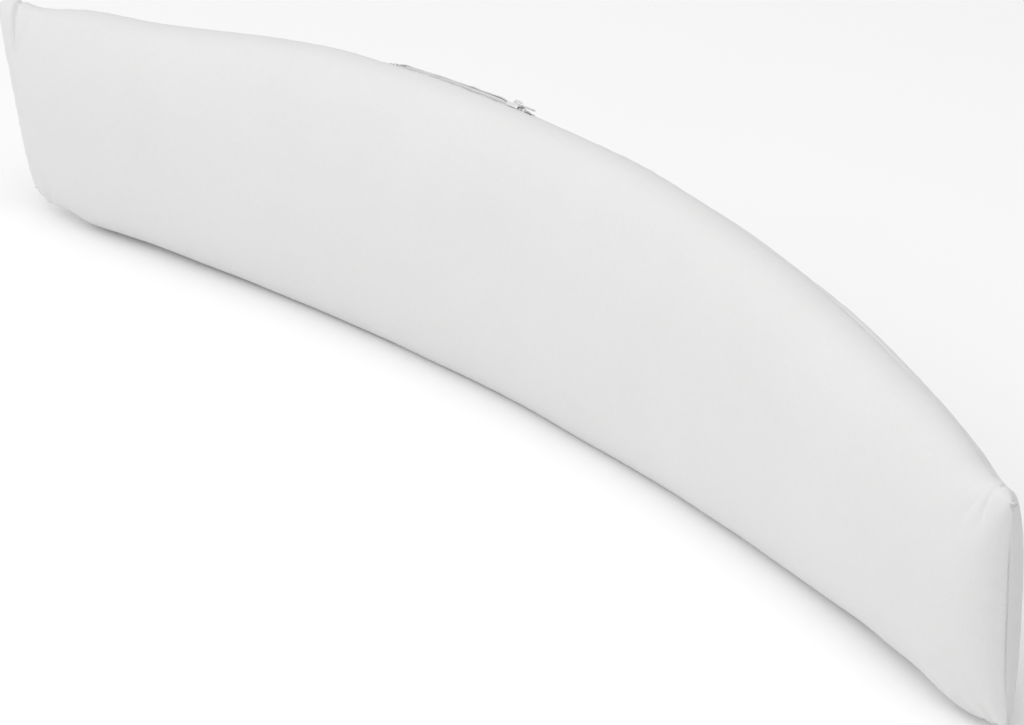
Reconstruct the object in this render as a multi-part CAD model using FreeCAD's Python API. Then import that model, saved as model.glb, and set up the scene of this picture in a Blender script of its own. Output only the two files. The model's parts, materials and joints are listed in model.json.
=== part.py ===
import FreeCAD, Part
import math
import os

# Curved bolster: a long crescent of foam that stands on its lower edge, wrapped in wadding, sewn into a
# cotton liner and dressed in a taut removable cover with a zip in its top seam.
# Millimetres. X runs along the bolster, -Y is the side the hollow of the crescent faces, Z is up.

os.makedirs("parts", exist_ok=True)
Vector = FreeCAD.Vector

# Crescent, measured on the outside of the cover
plan_radius = 1800.0  # centre line of the bolster, seen from above
half_length = 531.0  # along that centre line, from the middle to the tip of an end seam
middle_height = 200.0
end_height = 150.0  # top corner of each end
end_lift = 7.0  # how far the lower edge has risen at each end
foot_squash = 3.0  # how much of the lower edge the floor flattens
front_depth = 38.0  # centre line to the hollow side
back_depth = 38.0  # centre line to the outer side
section_power = 2.25  # 2 is an ellipse, more is boxier
taper_power = 7.0  # higher keeps the full depth closer to the ends
end_lean = 0.1  # slope of the end seams, out at the top
tip_half_depth = 1.8  # where the panels meet at each end
seam_angle = math.radians(74.0)  # the long seams' place on the section, up or down from the back
inner_seam_angle = math.radians(84.0)  # the same for the liner and the wadding
inner_seam_parting = math.radians(0.4)  # half the gap there

# Layers, as depths below the outside of the cover
cover_depth = 0.8
allowance_depth = 1.9
liner_depth = 3.0
wadding_depth = 9.4
foam_depth = 10.6
layer_gap = 0.6
tape_top_depth, tape_depth = 1.0, 1.5
# Each layer's own ends, as distances in from the tips of the end seams
cover_end_gap = 8.0
allowance_end_gap = 17.0
liner_end_gap = 20.0
wadding_end_gap = 38.0
foam_end_gap = 46.0
allowance_turn = math.radians(15.0)  # how far the turned-in edges reach each side of a long seam
end_seam_half_depth = 0.8  # flat sewn edge at each end
end_seam_root = 16.0  # starts this far in, between the panels
end_seam_inset = 1.5
foot_softness = 1.5

# Zip set in the top seam, in the left half of the bolster
zip_from = -0.315  # fractions of the half length
zip_to = -0.065
zip_section_angle = math.radians(72.0)  # place on the section, measured up from the back
# Across the zip, from its middle
slit_half_width = 0.7  # between the two rows of coil
coil_half_width = 3.1
slider_half_width = 4.7
channel_half_width = 5.2
tack_half_width = 6.0
slot_half_width = 6.2
tape_half_width = 14.0
zip_space_half = 40.0
# Along the zip
stop_length = 2.4
tack_length = 1.8
gap_between = 0.5
slot_margin = 2.6
tape_margin = 9.0
slider_length = 12.0
closed_gap = 3.5  # coil left beyond the slider when the zip is shut
# Above the cover's surface at the middle of the zip; negative is inside the bolster
coil_top = 1.0
stop_top = 1.5
tack_top = 0.4
slider_clearance = 0.35
slider_plate = 1.2
lower_plate_top = -2.5  # clear of the tape, which curves away from the zip's middle
channel_floor = -4.4
clear_above = 6.0
clear_below = -12.0
# Slider's post, the loop on its back, and the pull
post_half_width = 0.35
post_near, post_far = 2.0, 5.0  # from the slider's middle, towards the shut end
bail_half_length = 4.4
bail_bar = 1.1
bail_height = 3.1
bail_half_width = 0.7
pin_radius = 0.55
pin_gap = 0.3
pull_window = 5.6  # pivot to the end of the pull's window
pull_length = 17.0
pull_half_width = 2.6
pull_arm = 1.0
pull_corner = 2.0

half_sweep = half_length / plan_radius
pivot_height = coil_top + slider_clearance + slider_plate + pin_gap + pin_radius
angle_step = 15.0  # degrees between the points of a section
length_steps = 10
beyond = 2000.0  # larger than the bolster


def rise(sweep):
    """How far along its curve the crescent is: 0 in the middle, 1 at the ends."""
    return (1 - math.cos(sweep)) / (1 - math.cos(half_sweep))


def section_frame(along, inset):
    """Centre, outward, upward and half height of the section at a distance along the centre line."""
    sweep = along / plan_radius
    share = along / half_length
    top = middle_height - (middle_height - end_height) * rise(sweep) - inset
    bottom = (foot_squash + end_lift) * abs(share) ** 3 - foot_squash + inset
    forward = Vector(math.cos(sweep), -math.sin(sweep), 0)
    outward = Vector(math.sin(sweep), math.cos(sweep), 0)
    lean = end_lean * share ** 3
    upward = forward * math.sin(lean) + Vector(0, 0, math.cos(lean))
    centre = outward * plan_radius + Vector(0, -plan_radius, (top + bottom) / 2)
    return centre, outward, upward, (top - bottom) / 2


def eased(value):
    """Superellipse version of a sine or cosine."""
    return math.copysign(abs(value) ** (2 / section_power), value)


def taper_at(share):
    """Depth of the bolster as a fraction of its full depth, at a fraction of its length."""
    return math.sqrt(max(0.0, 1 - abs(share) ** taper_power))


def section_point(along, inset, taper, angle, tip=tip_half_depth):
    """A point on the section; the angle is measured up from the back. Inner layers stay off the floor."""
    centre, outward, upward, half_height = section_frame(along, inset)
    depth = back_depth if math.cos(angle) > 0 else front_depth
    reach = tip + (depth - inset - tip) * taper
    across = outward * (reach * eased(math.cos(angle)))
    point = centre + across + upward * (half_height * eased(math.sin(angle)))
    if inset > 0:
        height = point.z - inset
        point += upward * ((math.hypot(height, foot_softness) - height) / 2 / upward.z)
    return point


def section_curve(along, inset, taper, start, finish, tip=tip_half_depth):
    """The section's outline between two angles."""
    steps = max(4, round(abs(finish - start) / math.radians(angle_step)))
    angles = [start + (finish - start) * step / steps for step in range(steps + 1)]
    curve = Part.BSplineCurve()
    curve.interpolate([section_point(along, inset, taper, angle, tip) for angle in angles])
    return curve


def end_shares(steps):
    """Fractions of the length from end to end, closer together near the ends."""
    return [math.sin(math.radians(90 * step / steps)) for step in range(-steps, steps + 1)]


def solid_body(inset, end_gap):
    """The bolster shrunk by an inset."""
    wires = []
    for share in end_shares(length_steps):
        along = share * (half_length - end_gap)
        halves = [
            section_curve(along, inset, taper_at(share), math.radians(start), math.radians(start + 180))
            for start in (-90, 90)
        ]
        wires.append(Part.Wire([half.toShape() for half in halves]))
    return Part.makeLoft(wires, True, False)


def sheet(outer, inner, end_gap, start, finish):
    """A layer of the bolster between two depths and two angles of its section, from end to end."""
    wires = []
    tip_outer = max(tip_half_depth, inner - outer + tip_half_depth)
    tip_inner = tip_outer - (inner - outer)
    for share in end_shares(length_steps):
        along = share * (half_length - end_gap)
        taper = taper_at(share)
        outside = section_curve(along, outer, taper, start, finish, tip_outer)
        inside = section_curve(along, inner, taper, start, finish, tip_inner)
        edges = [
            outside.toShape(),
            Part.makeLine(outside.EndPoint, inside.EndPoint),
            inside.toShape(),
            Part.makeLine(inside.StartPoint, outside.StartPoint),
        ]
        wires.append(Part.Wire(edges))
    return Part.makeLoft(wires, True, False)


def end_slab(side):
    """Flat sewn edge at one end, reaching in between the panels."""
    wires = []
    for gap in (end_seam_root, end_seam_root / 2, 0):
        centre, outward, upward, half_height = section_frame(side * (half_length - gap), end_seam_inset)
        corners = [
            centre + outward * (end_seam_half_depth * across) + upward * (half_height * up)
            for across, up in ((-1, -1), (1, -1), (1, 1), (-1, 1))
        ]
        wires.append(Part.makePolygon(corners + corners[:1]))
    return Part.makeLoft(wires, True, False)


class ZipLine:
    """The arc that the zip follows, and shapes swept along it."""

    def __init__(self):
        middle = (zip_from + zip_to) / 2
        start, self.origin, finish = [
            section_point(share * half_length, 0, taper_at(share), zip_section_angle)
            for share in (zip_to, middle, zip_from)
        ]
        circle = Part.Arc(start, self.origin, finish).toShape().Curve
        self.centre, self.radius = circle.Center, circle.Radius
        self.axis = circle.Axis if circle.Axis.z > 0 else circle.Axis * -1
        self.half_length = self.radius * (finish - self.centre).getAngle(self.origin - self.centre)
        self.leftward = self.axis.cross(self.origin - self.centre).normalize()
        step = math.radians(1)
        before, after = [
            section_point(middle * half_length, 0, taper_at(middle), zip_section_angle + turn)
            for turn in (step, -step)
        ]
        self.outward = (after - before).cross(self.leftward).normalize()
        self.backward = self.leftward.cross(self.outward)

    def degrees(self, distance):
        return math.degrees(distance / self.radius)

    def bar(self, near, far, low, high, start, finish):
        """A strip along the zip: spans across it, above the cover, and leftward from its middle."""
        spots = [(near, low), (far, low), (far, high), (near, high), (near, low)]
        corners = [self.origin + self.backward * across + self.outward * up for across, up in spots]
        face = Part.Face(Part.makePolygon(corners))
        face.rotate(self.centre, self.axis, self.degrees(start))
        return face.revolve(self.centre, self.axis, self.degrees(finish - start))

    def placed(self, shape, distance, height):
        """Moves a shape made at the origin, X to the shut end and Z off the cover, onto the zip."""
        shutward = self.leftward * -1
        turn = FreeCAD.Rotation(shutward, self.outward.cross(shutward), self.outward, "ZXY")
        shape.Placement = FreeCAD.Placement(self.origin + self.outward * height, turn)
        shape.rotate(self.centre, self.axis, self.degrees(distance))
        return shape


def make_cover(zip_line):
    """Front and back panels, with a slot for the zip between them and a foot that the floor flattens."""
    reach = zip_line.half_length + slot_margin
    slot = zip_line.bar(-slot_half_width, slot_half_width, clear_below, clear_above, -reach, reach)
    front = sheet(0, cover_depth, cover_end_gap, seam_angle, 2 * math.pi - seam_angle)
    back = sheet(0, cover_depth, cover_end_gap, -seam_angle, seam_angle)
    floor = Part.makeBox(beyond, beyond, beyond, Vector(-beyond / 2, -beyond / 2, -beyond))
    return front.cut(floor).cut(slot), back.cut(slot)


def make_seam_allowances(zip_line):
    """Turned-in edges of the cover's panels along its top seam, clear of the zip, and its foot seam."""
    outer, inner = cover_depth + layer_gap, allowance_depth
    span = (seam_angle - allowance_turn, seam_angle + allowance_turn)
    reach = zip_line.half_length + tape_margin + gap_between
    zip_space = zip_line.bar(-zip_space_half, zip_space_half, -zip_space_half, clear_above, -reach, reach)
    top = sheet(outer, inner, allowance_end_gap, *span).cut(zip_space)
    return top, sheet(outer, inner, allowance_end_gap, -span[1], -span[0])


def make_tapes(zip_line):
    """Woven tapes of the zip, lying on the inside of the cover."""
    lining = sheet(tape_top_depth, tape_depth, allowance_end_gap, 0, 3 * math.pi / 4)
    reach = zip_line.half_length + tape_margin
    spans = ((-tape_half_width, -slit_half_width), (slit_half_width, tape_half_width))
    return [
        lining.common(zip_line.bar(near, far, clear_below, clear_above, -reach, reach)) for near, far in spans
    ]


def make_coils(zip_line):
    """The two rows of coil, shut, with a slit between them for the slider's post."""
    reach = zip_line.half_length - stop_length - 2 * gap_between
    spans = ((-coil_half_width, -slit_half_width), (slit_half_width, coil_half_width))
    return [zip_line.bar(near, far, -cover_depth, coil_top, -reach, reach) for near, far in spans]


def make_stops(zip_line):
    """A clip on each row at the shut end, and one across both rows at the other end."""
    outer = zip_line.half_length - gap_between
    inner = outer - stop_length
    clips = [
        zip_line.bar(near, far, -cover_depth, stop_top, -outer, -inner)
        for near, far in ((-coil_half_width, -slit_half_width), (slit_half_width, coil_half_width))
    ]
    bottom = zip_line.bar(-coil_half_width, coil_half_width, -cover_depth, stop_top, inner, outer)
    return Part.makeCompound(clips), bottom


def make_bar_tacks(zip_line):
    """Dense bars of stitching that close the two ends of the zip's slot."""
    outer = zip_line.half_length + slot_margin - gap_between / 2
    spans = ((-outer, tack_length - outer), (outer - tack_length, outer))
    return Part.makeCompound([
        zip_line.bar(-tack_half_width, tack_half_width, -cover_depth, tack_top, start, finish)
        for start, finish in spans
    ])


def make_slider(zip_line, middle):
    """Upper and lower plates joined by a post, side flanges, and a loop on the back for the pull."""
    near, far = middle - slider_length / 2, middle + slider_length / 2
    under = coil_top + slider_clearance
    top = under + slider_plate
    flange_inner = coil_half_width + slider_clearance
    flange_low = slider_clearance - cover_depth
    loop_top = top + bail_height
    plates = [
        (-slider_half_width, slider_half_width, under, top),
        (-slider_half_width, -flange_inner, flange_low, under),
        (flange_inner, slider_half_width, flange_low, under),
        (-slider_half_width, slider_half_width, lower_plate_top - slider_plate, lower_plate_top),
    ]
    pieces = [zip_line.bar(*plate, near, far) for plate in plates]
    post_span = (middle - post_far, middle - post_near)
    pieces.append(zip_line.bar(-post_half_width, post_half_width, lower_plate_top, under, *post_span))
    loop_span = (middle - bail_half_length, middle + bail_half_length)
    loop = zip_line.bar(-bail_half_width, bail_half_width, top, loop_top, *loop_span)
    reach = bail_half_length - bail_bar
    hole_span = (middle - reach, middle + reach)
    hole = zip_line.bar(-slider_half_width, slider_half_width, top, loop_top - bail_bar, *hole_span)
    pieces.append(loop.cut(hole))
    return pieces[0].fuse(pieces[1:]).removeSplitter()


def make_pull(zip_line, middle):
    """Flat tab with a window near its pivot, through which the slider's loop passes."""
    thickness = 2 * pin_radius
    tab = Part.makeBox(pull_length, 2 * pull_half_width, thickness, Vector(0, -pull_half_width, -pin_radius))
    tail = [edge for edge in tab.Edges if edge.Length < thickness + 0.01 and edge.CenterOfMass.x > 1]
    tab = tab.makeFillet(pull_corner, tail)
    inner = pull_half_width - pull_arm
    window = Part.makeBox(pull_window + 1, 2 * inner, thickness, Vector(-1, -inner, -pin_radius))
    pin = Part.makeCylinder(pin_radius, 2 * pull_half_width, Vector(0, -pull_half_width, 0), Vector(0, 1, 0))
    pull = tab.cut(window).fuse(pin).removeSplitter()
    return zip_line.placed(pull, middle, pivot_height)


def make_filling(channel):
    """Foam core, the wadding round it and the liner round both, open along the zip's channel."""
    seam, parting = inner_seam_angle, inner_seam_parting
    front = (seam + parting, 2 * math.pi - seam - parting)
    back = (parting - seam, seam - parting)
    liner = (allowance_depth + layer_gap, liner_depth, liner_end_gap)
    wadding = (liner_depth + layer_gap, wadding_depth, wadding_end_gap)
    return {
        "foam_core": solid_body(foam_depth, foam_end_gap),
        "wadding_front": sheet(*wadding, *front).cut(channel),
        "wadding_back": sheet(*wadding, *back).cut(channel),
        "liner_front": sheet(*liner, *front).cut(channel),
        "liner_back": sheet(*liner, *back).cut(channel),
    }


def main():
    zip_line = ZipLine()
    slider_rest = -zip_line.half_length + gap_between + stop_length + closed_gap + slider_length / 2
    slider_end = zip_line.half_length - stop_length - 3 * gap_between - slider_length / 2
    reach = zip_line.half_length
    channel = zip_line.bar(-channel_half_width, channel_half_width, channel_floor, clear_above, -reach, reach)
    pieces = make_filling(channel)
    pieces["cover_front"], pieces["cover_back"] = make_cover(zip_line)
    pieces["top_seam_allowance"], pieces["bottom_seam_allowance"] = make_seam_allowances(zip_line)
    pieces["end_seam_left"], pieces["end_seam_right"] = end_slab(-1), end_slab(1)
    pieces["zip_tape_front"], pieces["zip_tape_back"] = make_tapes(zip_line)
    pieces["zip_coil_front"], pieces["zip_coil_back"] = make_coils(zip_line)
    pieces["zip_top_stops"], pieces["zip_bottom_stop"] = make_stops(zip_line)
    pieces["zip_bar_tacks"] = make_bar_tacks(zip_line)
    pieces["zip_slider"] = make_slider(zip_line, slider_rest)
    pieces["zip_pull"] = make_pull(zip_line, slider_rest)

    box = Part.makeCompound([pieces["cover_front"], pieces["cover_back"]]).optimalBoundingBox()
    shift = Vector(0, -(box.YMin + box.YMax) / 2, 0)
    for name, shape in pieces.items():
        shape.translate(shift)
        shape.exportStep("parts/" + name + ".step")
        print(name, "valid", shape.isValid(), "solids", len(shape.Solids), "volume", round(shape.Volume))

    pivot = zip_line.placed(Part.Vertex(0, 0, 0), slider_rest, pivot_height).Point + shift
    swing = FreeCAD.Rotation(zip_line.axis, zip_line.degrees(slider_rest)).multVec(zip_line.backward)
    print("box", box.XMin, box.XMax, box.YMin + shift.y, box.YMax + shift.y, box.ZMin, box.ZMax)
    print("zip travel: about", zip_line.centre + shift, "axis", zip_line.axis, "radius", zip_line.radius)
    print("zip travel: degrees", zip_line.degrees(slider_end - slider_rest))
    print("pull swing: about", pivot, "axis", swing)
    print("middle of the foot", shift)


main()
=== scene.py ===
import json
import math

import bmesh
import bpy
import numpy as np
from mathutils import Matrix, Vector


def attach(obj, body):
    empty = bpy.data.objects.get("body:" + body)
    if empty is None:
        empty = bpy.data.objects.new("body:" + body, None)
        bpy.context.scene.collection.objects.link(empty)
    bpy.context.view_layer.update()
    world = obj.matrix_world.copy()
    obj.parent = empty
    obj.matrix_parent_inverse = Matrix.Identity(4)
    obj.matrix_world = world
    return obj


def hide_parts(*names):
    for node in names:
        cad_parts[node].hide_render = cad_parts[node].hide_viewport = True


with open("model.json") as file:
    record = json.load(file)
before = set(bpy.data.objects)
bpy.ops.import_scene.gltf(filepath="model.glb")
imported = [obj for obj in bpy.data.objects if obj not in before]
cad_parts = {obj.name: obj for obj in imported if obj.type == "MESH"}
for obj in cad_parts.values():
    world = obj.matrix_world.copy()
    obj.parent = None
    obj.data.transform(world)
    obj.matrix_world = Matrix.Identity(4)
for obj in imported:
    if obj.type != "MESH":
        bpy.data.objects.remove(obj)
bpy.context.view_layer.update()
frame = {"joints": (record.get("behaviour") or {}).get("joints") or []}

MM = 0.001

# ---- shape law of the bolster, in millimetres
PLAN_RADIUS = 1800.0
HALF_LENGTH = 531.0
MIDDLE_HEIGHT = 200.0
END_HEIGHT = 150.0
END_LIFT = 7.0
FOOT_SQUASH = 3.0
DEPTH = 38.0  # from the middle to the front, and to the back
SECTION_POWER = 2.25
TAPER_POWER = 7.0
LEFT_LEAN, RIGHT_LEAN = 0.165, 0.045
TIP_DEPTH = 1.8
SEAM_ANGLE = 74.0
INNER_SEAM_ANGLE = 84.0
ZIP_ANGLE = 72.0
ZIP_FROM, ZIP_TO = -0.315, -0.065
SLOT_HALF_WIDTH = 6.2
SLOT_OFFSET = 1.35  # of the slot's middle behind the seam
SLOT_MARGIN = 2.6
FABRIC = 0.8
PANEL_END_GAP = 0.5
FOOT_Y = 25.7222
SLOT_START = ZIP_FROM * HALF_LENGTH - SLOT_MARGIN
SLOT_FINISH = ZIP_TO * HALF_LENGTH + SLOT_MARGIN
LIP_HEIGHT = 4.7
UP = np.array([0.0, 0.0, 1.0])


def smooth_step(value):
    value = np.clip(value, 0.0, 1.0)
    return value * value * (3 - 2 * value)


def bump(value, width):
    return np.exp(-((value / width) ** 2))


def swell(along, lumps):
    return sum(height * bump(along - place, width) for height, place, width in lumps)


def gap_from_end(along):
    return HALF_LENGTH - np.abs(along)


def corner_shift(along, left, right):
    """Ear, dip and hump of the outline near each end; each is (height, place, width) in from the tip."""
    gap = gap_from_end(along)
    return np.where(along < 0, swell(gap, left), swell(gap, right))


TOP_LEFT = ((8.2, 10, 18), (-3.5, -1, 5), (-0.6, 50, 14), (1.0, 88, 26))
TOP_RIGHT = ((8.2, 11, 16), (-0.6, 44, 14), (0.7, 85, 26))
BOTTOM_LEFT = ((9.0, -2, 9), (-0.4, 24, 10), (-2.4, 62, 20))
BOTTOM_RIGHT = ((2.2, 1, 11), (-1.5, 32, 14))
# Slow swells of the crest and of the lower front: height, place along the bolster, width
CREST_SWELLS = (
    (2.0, -470, 40), (-4.4, -370, 72), (1.4, -222, 36), (2.2, 80, 72), (3.0, 250, 140), (1.6, 450, 40),
)
LOWER_FRONT = 238.0  # section angle
FRONT_SWELLS = (
    (1.7, 50, 170), (-1.6, 385, 50), (3.0, 486, 26), (-1.8, -492, 16), (1.6, -442, 26),
)


def bow(along, up):
    """How far the end's corners stand out beyond its middle; up is -1 at the foot and 1 at the crest."""
    right = np.where(up > 0, 3.5, 8.5)
    left = np.where(up > 0, -1.2, 0.0)
    return np.abs(up) ** 3 * np.where(along > 0, right, left) * bump(gap_from_end(along), 34.0)


def section_frame(along, inset=0.0):
    sweep = along / PLAN_RADIUS
    share = along / HALF_LENGTH
    fall = (1 - np.cos(sweep)) / (1 - math.cos(HALF_LENGTH / PLAN_RADIUS))
    top = MIDDLE_HEIGHT - (MIDDLE_HEIGHT - END_HEIGHT) * fall - inset
    bottom = (FOOT_SQUASH + END_LIFT) * np.abs(share) ** 3 - FOOT_SQUASH + inset
    top = top + swell(along, CREST_SWELLS) + corner_shift(along, TOP_LEFT, TOP_RIGHT)
    bottom = bottom + corner_shift(along, BOTTOM_LEFT, BOTTOM_RIGHT)
    zero = np.zeros_like(sweep)
    forward = np.stack([np.cos(sweep), -np.sin(sweep), zero], -1)
    outward = np.stack([np.sin(sweep), np.cos(sweep), zero], -1)
    lean = (np.where(share < 0, LEFT_LEAN, RIGHT_LEAN) * share ** 3)[..., None]
    upward = forward * np.sin(lean) + UP * np.cos(lean)
    centre = outward * PLAN_RADIUS + np.array([0.0, FOOT_Y - PLAN_RADIUS, 0.0])
    centre = centre + UP * ((top + bottom) / 2)[..., None]
    return centre, forward, outward, upward, (top - bottom) / 2


def eased(value, power=2 / SECTION_POWER):
    return np.sign(value) * np.abs(value) ** power


def surface(along, degrees, inset=0.0, end_gap=0.0, tip=TIP_DEPTH):
    """Points of the bolster's skin; along and degrees are arrays of one shape."""
    angle = np.radians(degrees)
    centre, forward, outward, upward, half = section_frame(along, inset)
    share = np.clip(np.abs(along) / (HALF_LENGTH - end_gap), 0, 1)
    taper = np.sqrt(np.clip(1 - share ** TAPER_POWER, 0, 1))
    reach = tip + (DEPTH - inset - tip) * taper
    point = centre + outward * (reach * eased(np.cos(angle)))[..., None]
    up = eased(np.sin(angle))
    point = point + upward * (half * up)[..., None] + forward * bow(along, up)[..., None]
    lower_front = swell(along, FRONT_SWELLS) * bump(degrees - LOWER_FRONT, 40.0)
    outside = outward * np.cos(angle)[..., None] + upward * np.sin(angle)[..., None]
    return point + outside * lower_front[..., None]


def rest_on_floor(points, softness=1.2, lowest=0.0):
    z = points[..., 2] - lowest
    points = points.copy()
    points[..., 2] = lowest + (z + np.sqrt(z * z + softness * softness)) / 2
    return points


def normals(points):
    """Outward normals of a grid whose first index runs along and whose second runs up over the crest."""
    cross = np.cross(np.gradient(points, axis=0), np.gradient(points, axis=1))
    return -cross / np.maximum(np.linalg.norm(cross, axis=-1, keepdims=True), 1e-9)


def grid(along, across):
    """Both places at every crossing of a grid, one row for each place along."""
    return np.meshgrid(along, across, indexing="ij")


def lengths_over(points):
    """Distances over each row of a grid of points."""
    steps = np.linalg.norm(np.diff(points, axis=1), axis=2)
    return np.concatenate([np.zeros((len(points), 1)), steps.cumsum(1)], 1)


# ---- grids
def along_rows(step, end_gap, fine):
    """Distances along the centre line, closer together near the ends."""
    reach = HALF_LENGTH - end_gap
    gaps = [0.0, 0.12, 0.4, 0.9, 1.6]
    while gaps[-1] < reach:
        share = min(1.0, gaps[-1] / 90.0)
        gaps.append(gaps[-1] + fine + (step - fine) * share)
    gaps = np.array(gaps) * reach / gaps[-1]
    half = reach - gaps[::-1]
    return np.concatenate([-half[:0:-1], half])


def slot_share(along):
    """1 along the zip's slot and 0 away from it."""
    return smooth_step((along - SLOT_START) / 4.0 + 0.5) * smooth_step((SLOT_FINISH - along) / 4.0 + 0.5)


def lip_share(along):
    """Where the back edge of the zip's slot stands proud."""
    share = along / HALF_LENGTH
    return smooth_step((share + 0.336) / 0.022) * (0.35 + 0.65 * smooth_step((-0.085 - share) / 0.05))


def columns(length, step):
    """Shares of the distance across a panel, closer together near each seam."""
    edge = np.array([0.0, 0.5, 1.1, 1.9, 3.0, 4.6, 6.8])
    count = int(round((length - 2 * edge[-1]) / step))
    middle = np.linspace(edge[-1], length - edge[-1], count + 1)
    return np.concatenate([edge[:-1], middle, length - edge[-2::-1]]) / length


def panel_angles(along, start, finish, across, start_shift, finish_shift):
    """Section angles and distances across, at shares of the girth, with the edges moved in by the shifts."""
    dense = np.linspace(start, finish, 721)
    reach = lengths_over(surface(*grid(along, dense), end_gap=PANEL_END_GAP))
    total = reach[:, -1:]
    at = across * total
    moved = start_shift[:, None] * np.exp(-at / 22.0) - finish_shift[:, None] * np.exp((at - total) / 22.0)
    girth = at + moved
    return np.array([np.interp(*row, dense) for row in zip(girth, reach)]), girth


def ripple(values, seed, wavelength, count=9):
    """Smooth repeatable waviness along a line, about -1 to 1."""
    random = np.random.default_rng(seed)
    total = np.zeros_like(values)
    for _ in range(count):
        length = wavelength * random.uniform(0.6, 1.7)
        total = total + np.sin(2 * np.pi * (values / length + random.random()))
    return total / math.sqrt(count)


# Folds at the corners: whether left, whether at the top, how far down the fold starts, its length,
# its gap from the end at the corner, its slope, width and depth
FOLDS = (
    (True, True, 3, 36, 21.0, 0.0, 1.2, 5.0),
    (True, True, 6, 40, 38.0, -0.40, 3.0, 1.6),
    (True, False, 0, 20, 10.0, 0.25, 2.4, 1.2),
    (True, False, 2, 34, 20.0, 0.55, 4.0, 0.6),
    (False, True, -2, 30, 17.0, -0.12, 2.0, 2.2),
    (False, True, 3, 30, 19.0, 0.45, 3.8, 0.6),
    (False, False, 0, 24, 10.0, 0.20, 2.4, 1.3),
    (False, False, 2, 34, 20.0, 0.50, 4.2, 0.7),
)


def end_creases(along, points):
    """Inward depth of the folds where the fabric leaves the flat end seams, in millimetres."""
    centre, _, _, upward, half = section_frame(along)
    middle, reach = centre[..., 2], (upward * half[..., None])[..., 2]
    gap = gap_from_end(along)
    left = along < 0
    depth = np.zeros_like(gap)
    for side, upper, begin, length, place, slope, width, deep in FOLDS:
        down = reach + (middle - points[..., 2] if upper else points[..., 2] - middle)
        line = place + slope * down
        fade = smooth_step((down - begin + 6) / 6) * smooth_step((begin + length - down) / (0.7 * length))
        depth = depth + np.where(left == side, deep * fade * bump(gap - line, width), 0.0)
    return depth


def end_puckers(along, points, seed):
    """Short gathers square to the end seams, fading into the panel."""
    gap = gap_from_end(along)
    side = np.where(along < 0, 0.0, 431.0)
    wave = ripple(points[..., 2] + side, seed, 17.0)
    fine = ripple(points[..., 2] + side * 2, seed + 1, 8.0)
    return 0.22 * wave * np.exp(-gap / 11.0) * smooth_step(gap / 3.0) + 0.06 * fine * np.exp(-gap / 5.0)


def seam_puckers(along, distance, seed):
    """Small gathers along a long seam, fading across the panel."""
    near = ripple(along, seed, 21.0) * 0.16 * np.exp(-distance / 13.0)
    return near + ripple(along, seed + 1, 9.0) * 0.07 * np.exp(-distance / 5.0)


def slack(along, girth, seed):
    """Very faint unevenness of a taut cover."""
    random = np.random.default_rng(seed)
    total = np.zeros_like(along)
    for _ in range(14):
        turn = random.uniform(0, 2 * np.pi)
        length = random.uniform(70, 210)
        phase = random.uniform(0, 2 * np.pi)
        place = along * math.cos(turn) + girth * math.sin(turn)
        total = total + np.sin(place * 2 * np.pi / length + phase)
    return 0.09 * total


def panel(along, across, start, finish, seed, front):
    """Outer surface of one cover panel, as a grid of points, and the distances across it."""
    slot = slot_share(along)
    start_shift = slot * (SLOT_HALF_WIDTH - SLOT_OFFSET if front else 0)
    finish_shift = slot * (0 if front else SLOT_HALF_WIDTH + SLOT_OFFSET)
    angles, girth = panel_angles(along, start, finish, across, start_shift, finish_shift)
    rows = grid(along, across)[0]
    points = surface(rows, angles, end_gap=PANEL_END_GAP)
    seam_start = girth - start_shift[:, None]
    seam_finish = girth[:, -1:] - girth
    depth = end_puckers(rows, points, seed) - end_creases(rows, points)
    gap = gap_from_end(rows)
    quiet = smooth_step(gap / 14.0)
    depth = depth + quiet * seam_puckers(rows, seam_start, seed + 5)
    depth = depth + quiet * seam_puckers(rows, seam_finish, seed + 9)
    depth = depth + slack(rows, girth, seed + 20)
    # the edges roll in to the stitched line, but lie flat along the zip
    for distance, at_zip in ((seam_start, front), (seam_finish, not front)):
        rolled = 1 - slot[:, None] if at_zip else 1.0
        depth = depth - rolled * (1.15 * bump(distance, 1.5) + 0.35 * bump(distance, 4.5))
    # the zip holds the back panel's edge up
    if not front:
        depth = depth + lip_share(rows) * slot[:, None] * LIP_HEIGHT * bump(seam_finish, 9.0)
    points = points + normals(points) * depth[..., None]
    # the last rows of each end roll in to the end seam
    pinch = 1.66 * bump(gap - PANEL_END_GAP, 1.6)
    side = section_frame(rows)[2] * np.sign(np.cos(np.radians(angles)))[..., None]
    return rest_on_floor(points - side * pinch[..., None]), girth


def weighted_rows(coarse, fine):
    """Cubic interpolation weights from values at coarse places to fine places."""
    matrix = np.zeros((fine.size, coarse.size))
    for row, place in enumerate(fine):
        at = np.clip(np.searchsorted(coarse, place) - 1, 0, coarse.size - 2)
        share = np.clip((place - coarse[at]) / (coarse[at + 1] - coarse[at]), 0, 1)
        weights = (
            (-share + 2 * share ** 2 - share ** 3) / 2,
            (2 - 5 * share ** 2 + 3 * share ** 3) / 2,
            (share + 4 * share ** 2 - 3 * share ** 3) / 2,
            (share ** 3 - share ** 2) / 2,
        )
        for offset, weight in zip((-1, 0, 1, 2), weights):
            matrix[row, np.clip(at + offset, 0, coarse.size - 1)] += weight
    return matrix


# ---- mesh helpers
def new_object(name, data):
    made = bpy.data.objects.new(name, data)
    bpy.context.scene.collection.objects.link(made)
    return made


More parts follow.
